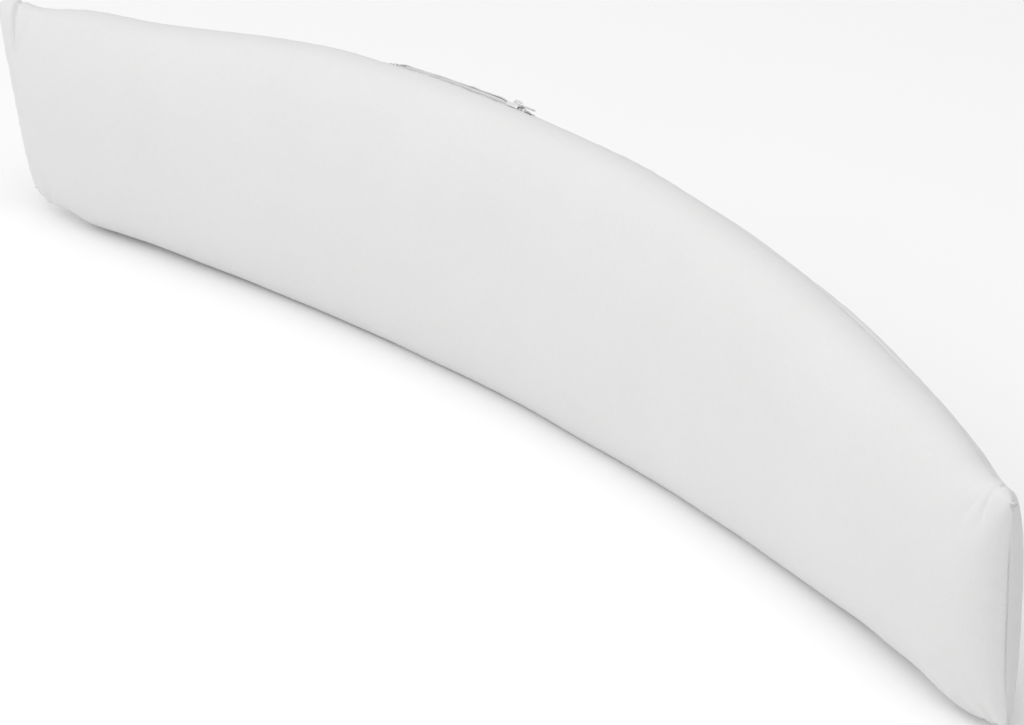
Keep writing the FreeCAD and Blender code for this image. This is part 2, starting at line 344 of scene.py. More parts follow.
def mesh_from(name, vertices, faces, material, uv=None):
    mesh = bpy.data.meshes.new(name)
    mesh.from_pydata((np.asarray(vertices) * MM).tolist(), [], faces)
    mesh.validate()
    if uv is not None:
        layer = mesh.uv_layers.new(name="fabric")
        index = np.empty(len(mesh.loops), np.int32)
        mesh.loops.foreach_get("vertex_index", index)
        layer.data.foreach_set("uv", (np.asarray(uv)[index] * MM).astype(np.float32).ravel())
    mesh.polygons.foreach_set("use_smooth", [True] * len(mesh.polygons))
    mesh.update()
    mesh.materials.append(material)
    return new_object(name, mesh)


def shell(name, outer, inner, uv, material):
    """A closed sheet between two grids of the same size."""
    rows, cols = outer.shape[:2]
    vertices = np.concatenate([outer.reshape(-1, 3), inner.reshape(-1, 3)])
    index = np.arange(rows * cols).reshape(rows, cols)
    a, b = index[:-1, :-1].ravel(), index[1:, :-1].ravel()
    c, d = index[1:, 1:].ravel(), index[:-1, 1:].ravel()
    under = rows * cols
    rim = np.concatenate([index[:, 0], index[-1, 1:], index[-2::-1, -1], index[0, -2:0:-1]])
    following = np.roll(rim, -1)
    faces = np.concatenate([
        np.stack([a, d, c, b], 1),
        np.stack([a, b, c, d], 1) + under,
        np.stack([rim, following, following + under, rim + under], 1),
    ])
    return mesh_from(name, vertices, faces.tolist(), material, np.tile(uv.reshape(-1, 2), (2, 1)))


def ring_faces(count, ring):
    """Faces through rings of equal size, with both ends closed."""
    faces = []
    for i in range(0, (count - 1) * ring, ring):
        for k in range(ring):
            m = (k + 1) % ring
            faces.append((i + k, i + ring + k, i + ring + m, i + m))
    last = (count - 1) * ring
    return faces + [tuple(range(ring)), tuple(range(last + ring - 1, last - 1, -1))]


def tube(path, radius, sides=6, squash=1.0, side_hint=UP, taper_ends=False):
    """Vertices and faces of a tube along a path of points, in millimetres."""
    path = np.asarray(path, float)
    run = np.gradient(path, axis=0)
    run = run / np.maximum(np.linalg.norm(run, axis=1, keepdims=True), 1e-9)
    first = np.cross(run, side_hint)
    flat = np.linalg.norm(first, axis=1) < 1e-3
    first[flat] = np.cross(run[flat], (1.0, 0.3, 0.1))
    first = first / np.linalg.norm(first, axis=1, keepdims=True)
    second = np.cross(first, run)
    angles = np.linspace(0, 2 * np.pi, sides, endpoint=False)
    size = np.full((len(path), 1, 1), radius)
    if taper_ends:
        size[[0, -1]] = radius * 0.35
    wide, tall = np.cos(angles)[:, None], np.sin(angles)[:, None] * squash
    ring = size * (first[:, None] * wide + second[:, None] * tall)
    return (path[:, None] + ring).reshape(-1, 3), ring_faces(len(path), sides)


def joined(parts):
    """One list of vertices and faces from several."""
    vertices, faces, start = [], [], 0
    for points, polygons in parts:
        vertices.append(points)
        faces += [tuple(i + start for i in face) for face in polygons]
        start += len(points)
    return np.concatenate(vertices), faces


def finished(piece, body, nodes=()):
    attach(piece, body)
    if nodes:
        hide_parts(*nodes)


# ---- materials
class Nodes:
    """A material and short ways to wire it."""

    def __init__(self, name, colour, roughness, **sockets):
        self.material = bpy.data.materials.new(name)
        self.material.use_nodes = True
        self.tree = self.material.node_tree
        self.shader = self.tree.nodes["Principled BSDF"]
        self.shader.inputs["Base Color"].default_value = (*colour, 1)
        self.shader.inputs["Roughness"].default_value = roughness
        for key, value in sockets.items():
            self.shader.inputs[key.replace("_", " ")].default_value = value

    def add(self, kind, **settings):
        node = self.tree.nodes.new(kind)
        for key, value in settings.items():
            setattr(node, key, value)
        return node

    def link(self, source, target):
        self.tree.links.new(source, target)

    def math(self, operation, first, second=None, clamp=False):
        node = self.add("ShaderNodeMath", operation=operation, use_clamp=clamp)
        for socket, value in zip(node.inputs, (first, second)):
            if isinstance(value, (int, float)):
                socket.default_value = value
            elif value is not None:
                self.link(value, socket)
        return node.outputs[0]

    def total(self, *terms):
        """Sum of sources, each times its weight."""
        scaled = [self.math("MULTIPLY", source, weight) for source, weight in terms]
        result = scaled[0]
        for term in scaled[1:]:
            result = self.math("ADD", result, term)
        return result

    def noise(self, vector, scale, detail=2.0, roughness=0.5):
        node = self.add("ShaderNodeTexNoise")
        node.inputs["Scale"].default_value = scale
        node.inputs["Detail"].default_value = detail
        node.inputs["Roughness"].default_value = roughness
        self.link(vector, node.inputs["Vector"])
        return node.outputs["Fac"]

    def place(self):
        return self.add("ShaderNodeTexCoord").outputs["Object"]

    def fabric_place(self):
        return self.add("ShaderNodeUVMap", uv_map="fabric").outputs["UV"]

    def stretched(self, vector, scale):
        node = self.add("ShaderNodeVectorMath", operation="MULTIPLY")
        node.inputs[1].default_value = scale
        self.link(vector, node.inputs[0])
        return node.outputs[0]

    def coloured(self, factor, *stops):
        """Base colour from a factor, through stops of (place, colour)."""
        node = self.add("ShaderNodeValToRGB")
        ramp = node.color_ramp
        while len(ramp.elements) < len(stops):
            ramp.elements.new(0.5)
        for element, (place, colour) in zip(ramp.elements, stops):
            element.position = place
            element.color = (*colour, 1)
        self.link(factor, node.inputs["Fac"])
        self.link(node.outputs["Color"], self.shader.inputs["Base Color"])

    def bumped(self, height, strength, distance):
        node = self.add("ShaderNodeBump")
        node.inputs["Strength"].default_value = strength
        node.inputs["Distance"].default_value = distance
        self.link(height, node.inputs["Height"])
        self.link(node.outputs["Normal"], self.shader.inputs["Normal"])

    def weave(self, vector, pitch):
        """Plain weave: threads over and under each other, -1 to 1."""
        split = self.add("ShaderNodeSeparateXYZ")
        self.link(vector, split.inputs[0])
        turn = math.pi / pitch
        warp = self.math("SINE", self.math("MULTIPLY", split.outputs["X"], turn))
        weft = self.math("SINE", self.math("MULTIPLY", split.outputs["Y"], turn))
        return self.math("MULTIPLY", warp, weft)


def shade(value, tint=(1.0, 1.0, 1.0)):
    return tuple(value * part for part in tint)


def cover_material(name, level, dust=0.012):
    """Fine plain-woven cotton: threads, slubs and very slight unevenness of the dye."""
    made = Nodes(name, shade(level), 0.86, Sheen_Weight=0.12, Sheen_Roughness=0.45)
    place = made.fabric_place()
    thread = made.weave(place, 0.00042)
    slub_along = made.noise(made.stretched(place, (110.0, 900.0, 1.0)), 1.0, 3.0, 0.6)
    slub_across = made.noise(made.stretched(place, (900.0, 110.0, 1.0)), 1.0, 3.0, 0.6)
    cloud = made.noise(made.place(), 9.0, 3.0, 0.55)
    slubs = made.math("ADD", slub_along, slub_across)
    tone = made.total((slubs, 0.30), (cloud, 0.35), (thread, 0.08))
    low, high = level * (1 - dust * 2.2), level * (1 + dust)
    made.coloured(tone, (0.25, shade(low, (1.0, 0.998, 0.994))), (0.75, shade(high)))
    made.bumped(made.total((thread, 0.5), (slubs, 0.7)), 0.22, 0.00012)
    return made.material


def tape_material(name, level):
    """Herringbone woven tape."""
    made = Nodes(name, shade(level), 0.8, Sheen_Weight=0.1)
    place = made.fabric_place()
    split = made.add("ShaderNodeSeparateXYZ")
    made.link(place, split.inputs[0])
    zigzag = made.math("PINGPONG", split.outputs["Y"], 0.0016)
    diagonal = made.math("ADD", split.outputs["X"], zigzag)
    rib = made.math("SINE", made.math("MULTIPLY", diagonal, 2 * math.pi / 0.0008))
    grain = made.noise(made.stretched(place, (2400.0, 2400.0, 1.0)), 1.0)
    tone = made.total((rib, 0.22), (grain, 1.0))
    made.coloured(tone, (0.2, shade(level * 0.8)), (0.8, shade(level * 1.08)))
    made.bumped(rib, 0.5, 0.0001)
    return made.material


def plain_material(name, level, roughness, grain_scale, grain_depth, variation=0.05, **sockets):
    """Colour, roughness and surface from noise, for small moulded, coated or sewn pieces."""
    made = Nodes(name, shade(level), roughness, **sockets)
    place = made.place()
    fine = made.noise(place, grain_scale, 3.0, 0.6)
    broad = made.noise(place, grain_scale / 14, 2.0)
    tone = made.total((fine, 0.5), (broad, 0.5))
    made.coloured(tone, (0.3, shade(level * (1 - variation))), (0.7, shade(level * (1 + variation))))
    rough = made.math("ADD", made.math("MULTIPLY", broad, 0.2), roughness - 0.1, clamp=True)
    made.link(rough, made.shader.inputs["Roughness"])
    made.bumped(fine, 0.4, grain_depth)
    return made.material


def foam_material():
    made = Nodes("cut_foam", (0.82, 0.76, 0.55), 0.95, Sheen_Weight=0.05)
    cells = made.add("ShaderNodeTexVoronoi")
    cells.inputs["Scale"].default_value = 900.0
    made.link(made.place(), cells.inputs["Vector"])
    distance = cells.outputs["Distance"]
    made.coloured(distance, (0.1, (0.68, 0.63, 0.48)), (0.6, (0.88, 0.84, 0.70)))
    made.bumped(distance, 0.7, 0.0004)
    return made.material


def wadding_material():
    made = Nodes("polyester_wadding", shade(0.86), 0.95, Sheen_Weight=0.4)
    place = made.place()
    fibres = made.noise(made.stretched(place, (600.0, 90.0, 600.0)), 1.0, 6.0, 0.75)
    made.coloured(fibres, (0.3, shade(0.70)), (0.7, shade(0.9)))
    made.bumped(fibres, 0.9, 0.0009)
    return made.material


COVER = cover_material("cover_cotton", 0.745, 0.03)
SEAM = cover_material("seam_cotton", 0.68)
LINER = cover_material("liner_cotton", 0.70)
TAPE = tape_material("zip_tape_weave", 0.72)
COIL = plain_material("nylon_coil", 0.78, 0.42, 2600.0, 0.00003)
METAL = plain_material("enamelled_zinc", 0.74, 0.3, 1500.0, 0.00002, 0.03, Metallic=0.0, Coat_Weight=0.4)
THREAD = plain_material("sewing_thread", 0.74, 0.7, 5200.0, 0.00005, 0.08, Sheen_Weight=0.2)
FOAM = foam_material()
WADDING = wadding_material()

# ---- cloth simulation of the cover's two ends
SIM_GAPS = np.concatenate([
    [PANEL_END_GAP, 1.6, 3.2], np.arange(5.0, 20.0, 1.7), np.arange(21.0, 131.0, 2.8),
])
SIM_FRONT = np.linspace(0, 1, 69)
SIM_BACK = np.linspace(0, 1, 51)
SIM_SCALE = 0.01
SIM_FRAMES = 22
CLOTH = {
    "quality": 9, "mass": 0.25, "air_damping": 4.0,
    "tension_stiffness": 22.0, "compression_stiffness": 22.0, "shear_stiffness": 9.0,
    "bending_stiffness": 0.35, "tension_damping": 6.0, "compression_damping": 6.0, "shear_damping": 6.0,
    "vertex_group_mass": "hold", "vertex_group_shrink": "excess", "shrink_min": 0.0, "shrink_max": -0.045,
    "use_pressure": True, "uniform_pressure_force": 3.0,
}


def smoothing(places, width):
    """Weights of a running average along a line of places."""
    weights = np.exp(-(((places[:, None] - places[None]) / width) ** 2))
    return weights / weights.sum(1, keepdims=True)


def draped(vertices, faces, pinned, loose):
    """Runs the cloth on a grid held at its pinned points, and returns where it settles."""
    scene = bpy.context.scene
    mesh = bpy.data.meshes.new("end_cloth")
    mesh.from_pydata((vertices * SIM_SCALE).tolist(), [], faces)
    cloth = new_object("end_cloth", mesh)
    hold = cloth.vertex_groups.new(name="hold")
    hold.add([int(i) for i in np.flatnonzero(pinned)], 1.0, "REPLACE")
    excess = cloth.vertex_groups.new(name="excess")
    for index, weight in enumerate(loose):
        excess.add([index], float(weight), "REPLACE")
    modifier = cloth.modifiers.new("drape", "CLOTH")
    settings = modifier.settings
    for name, value in CLOTH.items():
        setattr(settings, name, value)
    settings.effector_weights.gravity = 0.0
    modifier.collision_settings.use_collision = False
    modifier.point_cache.frame_start = 1
    modifier.point_cache.frame_end = SIM_FRAMES
    for number in range(1, SIM_FRAMES + 1):
        scene.frame_set(number)
    shape = cloth.evaluated_get(bpy.context.evaluated_depsgraph_get())
    settled = np.empty(len(vertices) * 3)
    shape.data.vertices.foreach_get("co", settled)
    bpy.data.objects.remove(cloth)
    scene.frame_set(1)
    return settled.reshape(-1, 3) / SIM_SCALE


def simulated_end(side):
    """How far the cloth moves off the front and back panels near one end, on coarse grids."""
    along = np.sort(side * (HALF_LENGTH - SIM_GAPS))
    front = panel(along, SIM_FRONT, SEAM_ANGLE, 360 - SEAM_ANGLE, 3, True)[0]
    back = panel(along, SIM_BACK, -SEAM_ANGLE, SEAM_ANGLE, 31, False)[0]
    ring = np.concatenate([front, back[:, 1:-1]], 1)
    rows, cols = ring.shape[:2]
    index = np.arange(rows * cols).reshape(rows, cols)
    after = np.roll(index, -1, 1)
    faces = np.stack([index[:-1], after[:-1], after[1:], index[1:]], -1).reshape(-1, 4)
    gap = grid(gap_from_end(along), range(cols))[0]
    pinned = (gap < 1.0) | (gap > 126.0)
    pinned[:, [0, SIM_FRONT.size - 1]] = True
    loose = 1 - smooth_step((gap - 12.0) / 85.0)
    pinned |= end_creases(side * (HALF_LENGTH - gap), ring) > 0.45
    settled = draped(ring.reshape(-1, 3), faces.tolist(), pinned.ravel(), loose.ravel())
    moved = settled.reshape(ring.shape) - ring
    front_move = (moved[:, :SIM_FRONT.size] * normals(front)).sum(-1)
    back_ring = np.concatenate([moved[:, SIM_FRONT.size - 1:], moved[:, :1]], 1)
    back_move = (back_ring * normals(back)).sum(-1)
    return along, front_move, back_move


def wrinkles(coarse_along, move, coarse_across, girth):
    """The simulated folds on a panel's coarse grid, without the broad swelling under them."""
    broad = smoothing(coarse_along, 26.0) @ move @ smoothing(coarse_across * girth, 26.0).T
    folds = move - 0.8 * broad
    fade = 1 - smooth_step((gap_from_end(coarse_along) - 85.0) / 38.0)
    return 2.8 * np.tanh(folds / 2.8) * fade[:, None]


# ---- cover panels
ALONG = along_rows(3.2, PANEL_END_GAP, 0.8)
FRONT_ACROSS = columns(268.0, 3.0)
BACK_ACROSS = columns(196.0, 3.0)

front_points, front_girth = panel(ALONG, FRONT_ACROSS, SEAM_ANGLE, 360 - SEAM_ANGLE, 3, True)
back_points, back_girth = panel(ALONG, BACK_ACROSS, -SEAM_ANGLE, SEAM_ANGLE, 31, False)


def add_folds():
    """Moves the two panels by what the cloth simulation finds at each end."""
    for side in (-1, 1):
        coarse, front_move, back_move = simulated_end(side)
        near = np.abs(ALONG - side * HALF_LENGTH) < 128.0
        for points, across, fine_across, move, girth in (
            (front_points, SIM_FRONT, FRONT_ACROSS, front_move, 230.0),
            (back_points, SIM_BACK, BACK_ACROSS, back_move, 170.0),
        ):
            folds = wrinkles(coarse, move, across, girth)
            fine = weighted_rows(coarse, ALONG[near]) @ folds @ weighted_rows(across, fine_across).T
            deep_inside = smooth_step((gap_from_end(ALONG[near]) - 10.0) / 10.0)[:, None]
            fine = np.maximum(fine, -2.5 + 1.7 * deep_inside)
            points[near] = rest_on_floor(points[near] + normals(points)[near] * fine[..., None])


add_folds()


def cover_piece(node, points, girth):
    uv = np.stack([grid(ALONG, girth[0])[0], girth], -1)
    inner = points - normals(points) * FABRIC
    inner[..., 2] = np.maximum(inner[..., 2], FABRIC * 0.5)
    finished(shell(node + "_panel", points, inner, uv, COVER), "cushion", [node])


cover_piece("cover_front", front_points, front_girth)
cover_piece("cover_back", back_points, back_girth)


# ---- filling, seen only with the cover off
def layer_rows(end_gap, step):
    count = int(round(2 * (HALF_LENGTH - end_gap) / step))
    return np.sin(np.linspace(-np.pi / 2, np.pi / 2, count + 1)) * (HALF_LENGTH - end_gap)


def layer(along, outer, inner, end_gap, start, finish, steps):
    """Two grids at two depths of the bolster, between two section angles."""
    rows, degrees = grid(along, np.linspace(start, finish, steps + 1))
    grids = []
    for inset in (outer, inner):
        points = surface(rows, degrees, inset, end_gap, max(0.9, TIP_DEPTH + inner - inset))
        grids.append(rest_on_floor(points, 1.0, inset))
    girth = np.radians(degrees) * 60.0
    return grids[0], grids[1], np.stack([rows, girth], -1)


def layer_piece(name, depths, end_gap, angles, steps, material, node):
    outer, inner, uv = layer(layer_rows(end_gap, 9.0), *depths, end_gap, *angles, steps)
    finished(shell(name, outer, inner, uv, material), "cushion", [node])


def foam_piece():
    along = layer_rows(34.0, 10.0)
    degrees = np.linspace(0, 360, 72, endpoint=False)
    points = rest_on_floor(surface(*grid(along, degrees), 9.2, 34.0, 6.0), 1.0, 9.2)
    faces = [face[::-1] for face in ring_faces(along.size, degrees.size)]
    piece = mesh_from("foam_block", points.reshape(-1, 3), faces, FOAM)
    finished(piece, "cushion", ["foam_core"])


FILLING = (("front", (81.0, 360 - INNER_SEAM_ANGLE), 44), ("back", (-INNER_SEAM_ANGLE, 61.0), 36))
foam_piece()
for face, angles, steps in FILLING:
    node = "wadding_" + face
    layer_piece("wadding_wrap_" + face, (3.0, 9.0), 28.0, angles, steps, WADDING, node)
for face, angles, steps in FILLING:
    node = "liner_" + face
    layer_piece("liner_panel_" + face, (2.3, 2.7), 25.0, angles, steps, LINER, node)


def allowance_piece():
    """Turned-in edges of the top seam, on both sides of the zip, and of the foot seam."""
    gap, depths, spread = 17.0, (1.65, 2.1), 14
    reach = HALF_LENGTH - gap
    for side, along in (
        ("left", np.linspace(-reach, SLOT_START - 9.5, 30)),
        ("right", np.linspace(SLOT_FINISH + 9.5, reach, 70)),
    ):
        outer, inner, uv = layer(along, *depths, gap, SEAM_ANGLE - spread, SEAM_ANGLE + spread, 10)
        piece = shell("top_allowance_" + side, outer, inner, uv, SEAM)
        finished(piece, "cushion", ["top_seam_allowance"])
    angles = (-SEAM_ANGLE - spread, -SEAM_ANGLE + spread)
    layer_piece("foot_allowance", depths, gap, angles, 10, SEAM, "bottom_seam_allowance")


allowance_piece()


# ---- sewn ends
def end_seam(side, node):
    """Flat core of the end seam, between the rolled edges of the two panels."""
    gaps = np.array([16.0, 12.0, 8.0, 5.0, 3.0, 1.8, 1.1])
    along, up = grid(side * (HALF_LENGTH - gaps), np.linspace(-1, 1, 61))
    centre, forward, outward, upward, half = section_frame(along)
    middle = centre + upward * ((half - 2.2) * up)[..., None] + forward * bow(along, up)[..., None]
    wave = ripple(middle[..., 2], 5 + side, 14.0) * 0.12
    thick = 0.62 * np.sqrt(np.clip(1.12 - np.abs(up) ** 16, 0.05, 1))
    near = middle + outward * (wave + thick * side)[..., None]
    far = middle + outward * (wave - thick * side)[..., None]
    uv = np.stack([along, middle[..., 2]], -1)
    finished(shell(node + "_sewn", near, far, uv, SEAM), "cushion", [node])


end_seam(-1, "end_seam_left")
end_seam(1, "end_seam_right")


def end_stitches(side, name):
    """Lockstitches that close the end, lying in the groove between the panels."""
    parts = []
    pitch, length, gap, margin = 3.0, 2.3, 1.0, 9
    height = END_HEIGHT - END_LIFT
    for index in range(int((height - 2 * margin) / pitch)):
        low = -1 + 2 * (index * pitch + margin) / height
        up = np.linspace(low, low + 2 * length / height, 5)
        along = np.full(5, side * (HALF_LENGTH - gap))
        centre, forward, _, upward, half = section_frame(along)
        out = side * (0.42 + 0.30 * np.sin(np.linspace(0, np.pi, 5)))
        path = centre + upward * (half * up)[:, None] + forward * (out + bow(along, up))[:, None]
        parts.append(tube(path, 0.2, side_hint=(0, 1, 0), taper_ends=True))
    finished(mesh_from(name, *joined(parts), THREAD), "cushion")


end_stitches(-1, "end_stitches_left")
end_stitches(1, "end_stitches_right")


# ---- zip
TRAVEL = next(joint for joint in frame["joints"] if joint["name"] == "zip_travel")
ZIP_MIDDLE = (ZIP_FROM + ZIP_TO) / 2 * HALF_LENGTH


def one_point(along, degrees):
    return surface(np.array(along), np.array(degrees))


class ZipLine:
    """The arc that the zip follows: distances run to the left from its middle."""

    def __init__(self):
        self.axis = np.array(TRAVEL["axis"], float)
        if self.axis[2] < 0:
            self.axis = -self.axis
        pivot = np.array(TRAVEL["pos_m"], float) / MM
        self.origin = one_point(ZIP_MIDDLE, ZIP_ANGLE)
        self.centre = pivot + self.axis * np.dot(self.origin - pivot, self.axis)
        self.radius = np.linalg.norm(self.origin - self.centre)
        self.leftward = np.cross(self.axis, self.origin - self.centre)
        self.leftward /= np.linalg.norm(self.leftward)
        fall = one_point(ZIP_MIDDLE, ZIP_ANGLE - 1) - one_point(ZIP_MIDDLE, ZIP_ANGLE + 1)
        self.outward = np.cross(fall, self.leftward)
        self.outward /= np.linalg.norm(self.outward)
        self.backward = np.cross(self.leftward, self.outward)
        finish = one_point(ZIP_FROM * HALF_LENGTH, ZIP_ANGLE) - self.centre
        start = self.origin - self.centre
        cosine = np.dot(finish, start) / np.linalg.norm(finish) / np.linalg.norm(start)
        self.half_length = self.radius * math.acos(min(1.0, cosine))

    def points(self, across, up, distance):
        """Places at distances across, above and along the zip."""
        across, up, distance = np.broadcast_arrays(across, up, distance)
        start = self.origin + across[..., None] * self.backward + up[..., None] * self.outward - self.centre
        turn = (distance / self.radius)[..., None]
        along_axis = (start @ self.axis)[..., None] * self.axis
        turned = start * np.cos(turn) + np.cross(self.axis, start) * np.sin(turn)
        return self.centre + turned + along_axis * (1 - np.cos(turn))

    def frame_at(self, distance):
        """Leftward, outward and backward directions at a distance along the zip."""
        here = self.points(0.0, 0.0, distance)
        out = self.points(0.0, 1.0, distance) - here
        back = self.points(1.0, 0.0, distance) - here
        return np.cross(out, back), out, back


ZIP = ZipLine()
COIL_REACH = ZIP.half_length - 3.4
COIL_PITCH = 1.3
COIL_WIRE = 0.33


def coil(side, name, node):
    """One row of nylon coil: flattened turns of a single filament, with its heads at the zip's middle."""
    per_turn = 12
    turns = int(2 * COIL_REACH / COIL_PITCH) - 1
    phase = np.arange(turns * per_turn + 1) * 2 * np.pi / per_turn
    inner, outer = 0.44 + COIL_WIRE, 3.1 - COIL_WIRE
    across = side * ((inner + outer) / 2 + (outer - inner) / 2 * eased(np.cos(phase), 0.75))
    up = 0.08 + 0.56 * eased(np.sin(phase), 0.85)
    distance = -COIL_REACH + 0.5 + phase / (2 * np.pi) * COIL_PITCH + (0.5 * COIL_PITCH if side > 0 else 0.0)
    parts = tube(ZIP.points(across, up, distance), COIL_WIRE, side_hint=ZIP.leftward)
    finished(mesh_from(name, *parts, COIL), "cushion", [node])


def coil_threads(side, name):
    """Two lines of sewing that hold a row of coil on its tape, and the cord inside it."""
    parts = []
    lines = ((1.55, 0.98, 0.13, 0.05), (2.35, 0.93, 0.13, 0.05), (1.9, 0.08, 0.3, 0.0))
    for across, up, radius, wave in lines:
        distance = np.linspace(-COIL_REACH + 0.6, COIL_REACH - 0.6, int(COIL_REACH * 2 / 0.325))
        height = up + wave * np.cos(distance * 2 * np.pi / COIL_PITCH)
        parts.append(tube(ZIP.points(side * across, height, distance), radius))
    finished(mesh_from(name, *joined(parts), THREAD), "cushion")


def along_zip(distance):
    """Place along the bolster of a distance along the zip."""
    return ZIP_MIDDLE - distance * (ZIP_TO - ZIP_FROM) * HALF_LENGTH / 2 / ZIP.half_length


def skin_degrees(along, across):
    """Section angles of places that lie at distances across the zip, a row for each place along."""
    dense = np.linspace(20.0, 128.0, 400)
    reach = lengths_over(surface(*grid(along, dense)))
    return np.array([np.interp(np.interp(ZIP_ANGLE, dense, row) - across, row, dense) for row in reach])


def lip_height(across):
    """How far the back tape climbs to the raised edge of the back panel, as a share."""
    return smooth_step((across - 4.85) / 1.35) * bump(np.maximum(0.0, across - SLOT_HALF_WIDTH), 9.0)


def tape(side, name, node):
    """Woven tape from under the coil to inside the cover."""
    distance = np.linspace(-ZIP.half_length - 9, ZIP.half_length + 9, 150)
    across = np.array([0.75, 1.6, 2.6, 3.3, 3.9, 4.5, 4.85, 5.2, 5.6, 6.0, 6.5, 7.4, 9.0, 11.4, 14.0])
    along = along_zip(distance)
    grid_along = grid(along, across)[0]
    inside = slot_share(grid_along - 3) * slot_share(grid_along + 3)
    climb = (LIP_HEIGHT + 0.2) * lip_share(grid_along) * inside * lip_height(across)[None]
    lift = climb if side > 0 else 0 * climb
    skin = surface(grid_along, skin_degrees(along, side * across))
    out = normals(skin) * side
    sunk = 0.92 + 1.4 * (1 - slot_share(grid_along))
    top = skin + out * (lift - sunk)[..., None]
    under = top - out * 0.45
    uv = np.stack(grid(distance, across), -1)
    piece = shell(name, top[::side], under[::side], uv[::side], TAPE)
    finished(piece, "cushion", [node])


coil(-1, "coil_row_front", "zip_coil_front")
coil(1, "coil_row_back", "zip_coil_back")
coil_threads(-1, "coil_sewing_front")
coil_threads(1, "coil_sewing_back")
tape(-1, "woven_tape_front", "zip_tape_front")
tape(1, "woven_tape_back", "zip_tape_back")


def bar_tacks():
    """Dense zigzag sewing over both ends of the zip's slot."""
    outer = ZIP.half_length + SLOT_MARGIN - 0.25
    parts = []
    for side in (-1, 1):
        count = 42
        steps = np.arange(count)
        across = np.linspace(-6.0, 6.0, count)
        distance = side * (outer - 0.9) + np.where(steps % 2 == 0, -0.9, 0.9)
        along = along_zip(distance)
        corners = surface(along, np.diagonal(skin_degrees(along, across))) + ZIP.outward * 0.28
        dense = np.linspace(0, count - 1, count * 4 - 3)
        path = np.stack([np.interp(dense, steps, corners[:, k]) for k in range(3)], 1)
        lift = 0.16 * np.abs(np.sin(dense * np.pi))
        parts.append(tube(path + ZIP.outward * lift[:, None], 0.17, side_hint=ZIP.outward))
    piece = mesh_from("bar_tack_sewing", *joined(parts), THREAD)
    finished(piece, "cushion", ["zip_bar_tacks"])


bar_tacks()


def grid_lookup(points, girth, along, distance):
    """A point of a panel at a distance along the bolster and across the panel."""
    row = np.clip(np.searchsorted(ALONG, along) - 1, 0, ALONG.size - 2)
    share = (along - ALONG[row]) / (ALONG[row + 1] - ALONG[row])
    found = []
    for index in (row, row + 1):
        found.append(np.array([np.interp(distance, girth[index], points[index, :, k]) for k in range(3)]))
    return found[0] * (1 - share) + found[1] * share


def topstitching(name, points, girth, side, inset):
    """A row of lockstitches beside the zip's slot, sunk a little into the panel."""
    outward = normals(points)
    parts = []
    start, finish = SLOT_START - 1.5, SLOT_FINISH + 1.5
    pitch, length = 2.6, 2.05
    for index in range(int((finish - start) / pitch)):
        path = []
        for share in np.linspace(0, 1, 5):
            along = start + index * pitch + share * length
            row = int(np.clip(np.searchsorted(ALONG, along), 0, ALONG.size - 1))
            distance = girth[row, 0] + inset if side < 0 else girth[row, -1] - inset
            place = grid_lookup(points, girth, along, distance)
            normal = grid_lookup(outward, girth, along, distance)
            path.append(place + normal * (0.24 * math.sin(math.pi * share) - 0.05))
        parts.append(tube(path, 0.19, taper_ends=True))
    finished(mesh_from(name, *joined(parts), THREAD), "cushion")


topstitching("topstitching_front", front_points, front_girth, -1, 2.4)
topstitching("topstitching_back", back_points, back_girth, 1, 2.4)

# ---- slider and pull
SLIDER_LENGTH = 12.0
SLIDER_REST = -ZIP.half_length + 0.5 + 2.4 + 3.5 + SLIDER_LENGTH / 2


def rounded_bar(near, far, low, high, start, finish, corner):
    """A bar along the zip with rounded edges and ends; near and far may run with its length."""
    spread = (1 - np.cos(np.linspace(0, np.pi, 25))) / 2
    near, far = (np.interp(spread, np.linspace(0, 1, np.size(x)), np.ravel(x)) for x in (near, far))
    distances = start + (finish - start) * spread
    gap = np.minimum(distances - start, finish - distances)
    insets = corner * (1 - np.sqrt(np.clip(1 - (1 - np.clip(gap / corner, 0, 1)) ** 2, 0, 1)))
    quarter = np.linspace(0, np.pi / 2, 5)
    turn = np.concatenate([quarter, quarter + np.pi / 2, quarter + np.pi, quarter + 1.5 * np.pi])
    sideways, upward = np.repeat([1, -1, -1, 1], 5), np.repeat([1, 1, -1, -1], 5)
    sections = []
    for one, other, inset, distance in zip(near, far, insets, distances):
        half_width, half_height = (other - one) / 2, (high - low) / 2
        flat = max(half_width - corner, 0.01) * sideways
        tall = max(half_height - corner, 0.01) * upward
        size = max(corner - inset, 0.03)
        across = (one + other) / 2 + flat + size * np.cos(turn)
        up = (high + low) / 2 + tall + size * np.sin(turn)
        sections.append(ZIP.points(across, up, distance))
    return np.concatenate(sections), ring_faces(len(sections), turn.size)


def arch(half_span, low, high, middle, wire, width):
    """Loop on the slider's back that holds the pull."""
    turn = np.linspace(0, np.pi, 29)
    distance = middle + half_span * eased(np.cos(turn), 0.42)
    up = low + (high - low) * np.abs(np.sin(turn)) ** 0.55
    return tube(ZIP.points(0.0, up, distance), width, 12, squash=wire / width, side_hint=ZIP.backward)


